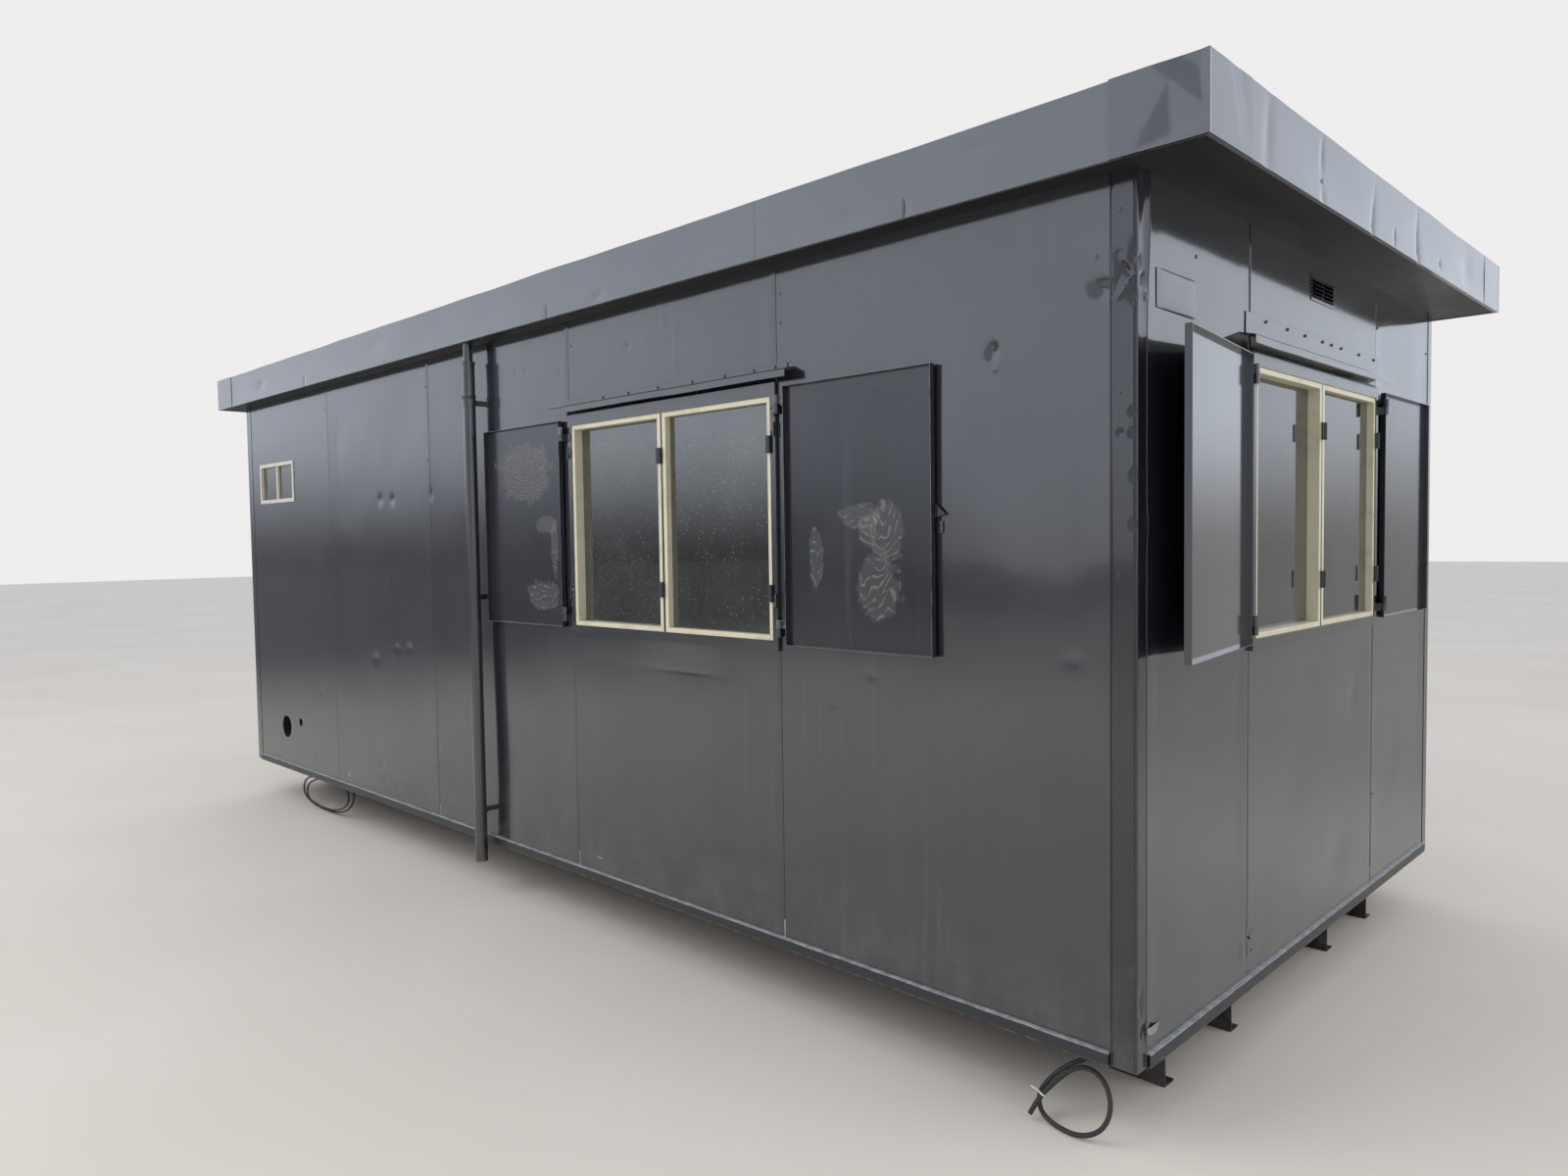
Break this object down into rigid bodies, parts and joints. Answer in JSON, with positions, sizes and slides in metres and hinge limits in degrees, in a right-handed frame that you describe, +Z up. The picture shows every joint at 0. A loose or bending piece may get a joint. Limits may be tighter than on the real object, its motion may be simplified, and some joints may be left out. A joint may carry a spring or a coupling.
{
  "type": "portable site cabin",
  "caption": "Long single-storey portable site cabin on skids, with flat overhanging roof, shuttered windows on the front and one end, and a front downpipe.",
  "frame": {"origin": "centre of the roof's outline, on the ground", "axes": "+X along the long side towards the end with the window, -Y towards the front with the downpipe, +Z up"},
  "size_m": [6.839, 3.004, 2.806],
  "materials": {
    "base_steel": "gloss dark blue-grey coating",
    "cabin_paint": "gloss dark blue-grey coating on steel sheet, brushed on by roller",
    "cable_plastic": "plain",
    "cable_rubber": "matt, dusty",
    "casement_timber": "cream gloss paint on timber, worn",
    "floor_board": "phenolic-faced board",
    "frame_paint": "gloss dark blue-grey coating on folded steel",
    "handle_metal": "satin",
    "roof_sheet": "weathered coated sheet",
    "shutter_paint": "gloss dark blue-grey coating with dried residue",
    "skid_steel": "matt dark coating, scuffed",
    "soffit_board": "satin coated sheet on a board core",
    "window_aluminium": "cream coated",
    "window_glass": "clear, dusty and rain spotted"
  },
  "bodies": {
    "cabin": {"back_panel_door": "cabin_paint", "back_panel_left": "cabin_paint", "back_panel_right": "cabin_paint", "base_rail_back": "base_steel", "base_rail_front": "base_steel", "base_rail_left": "base_steel", "base_rail_right": "base_steel", "cable_glands": "cable_plastic", "cable_tie": "cable_plastic", "corner_post_back_left": "cabin_paint", "corner_post_back_right": "cabin_paint", "corner_post_front_left": "cabin_paint", "corner_post_front_right": "cabin_paint", "door_frame": "cabin_paint", "door_handle": "handle_metal", "door_leaf": "cabin_paint", "downpipe": "cabin_paint", "downpipe_clips": "cabin_paint", "end_casements": "casement_timber", "end_panel_back": "cabin_paint", "end_panel_front": "cabin_paint", "end_vent": "cabin_paint", "end_window_apron": "cabin_paint", "end_window_frame": "frame_paint", "end_window_header": "cabin_paint", "end_window_hood": "cabin_paint", "fascia_back": "cabin_paint", "fascia_corner_caps": "cabin_paint", "fascia_front": "cabin_paint", "fascia_left": "cabin_paint", "fascia_right": "cabin_paint", "floor_deck": "floor_board", "floor_joists": "base_steel", "front_casements": "casement_timber", "front_panel_1": "cabin_paint", "front_panel_2": "cabin_paint", "front_panel_3": "cabin_paint", "front_panel_5": "cabin_paint", "front_window_apron": "cabin_paint", "front_window_frame": "frame_paint", "front_window_header": "cabin_paint", "front_window_hood": "cabin_paint", "left_cable_inner": "cable_rubber", "left_cable_outer": "cable_rubber", "left_end_wall": "cabin_paint", "right_cable": "cable_rubber", "roof_deck": "soffit_board", "roof_sheet": "roof_sheet", "shutter_keeps": "shutter_paint", "skid_back": "skid_steel", "skid_back_inner": "skid_steel", "skid_front": "skid_steel", "skid_front_inner": "skid_steel", "small_window_frame": "window_aluminium", "small_window_glass": "window_glass", "window_glass": "window_glass"},
    "shutter_front_left": {"shutter_front_left": "shutter_paint"},
    "shutter_front_right": {"shutter_front_right": "shutter_paint"},
    "shutter_end_front": {"shutter_end_front": "shutter_paint"},
    "shutter_end_back": {"shutter_end_back": "shutter_paint"}
  },
  "joints": [
    {"name": "front_left_shutter_hinge", "type": "hinge", "parent": "cabin", "child": "shutter_front_left", "pos_m": [0.6, -1.429, 1.7475], "axis": [0, 0, 1], "range_deg": [0, 180]},
    {"name": "front_right_shutter_hinge", "type": "hinge", "parent": "cabin", "child": "shutter_front_right", "pos_m": [1.9, -1.4335, 1.7475], "axis": [0, 0, -1], "range_deg": [0, 180]},
    {"name": "end_front_shutter_hinge", "type": "hinge", "parent": "cabin", "child": "shutter_end_front", "pos_m": [3.2165, -0.675, 1.7675], "axis": [0, 0, 1], "range_deg": [-7.5, 172.5]},
    {"name": "end_back_shutter_hinge", "type": "hinge", "parent": "cabin", "child": "shutter_end_back", "pos_m": [3.221, 0.625, 1.7675], "axis": [0, 0, -1], "range_deg": [0, 180]}
  ]
}
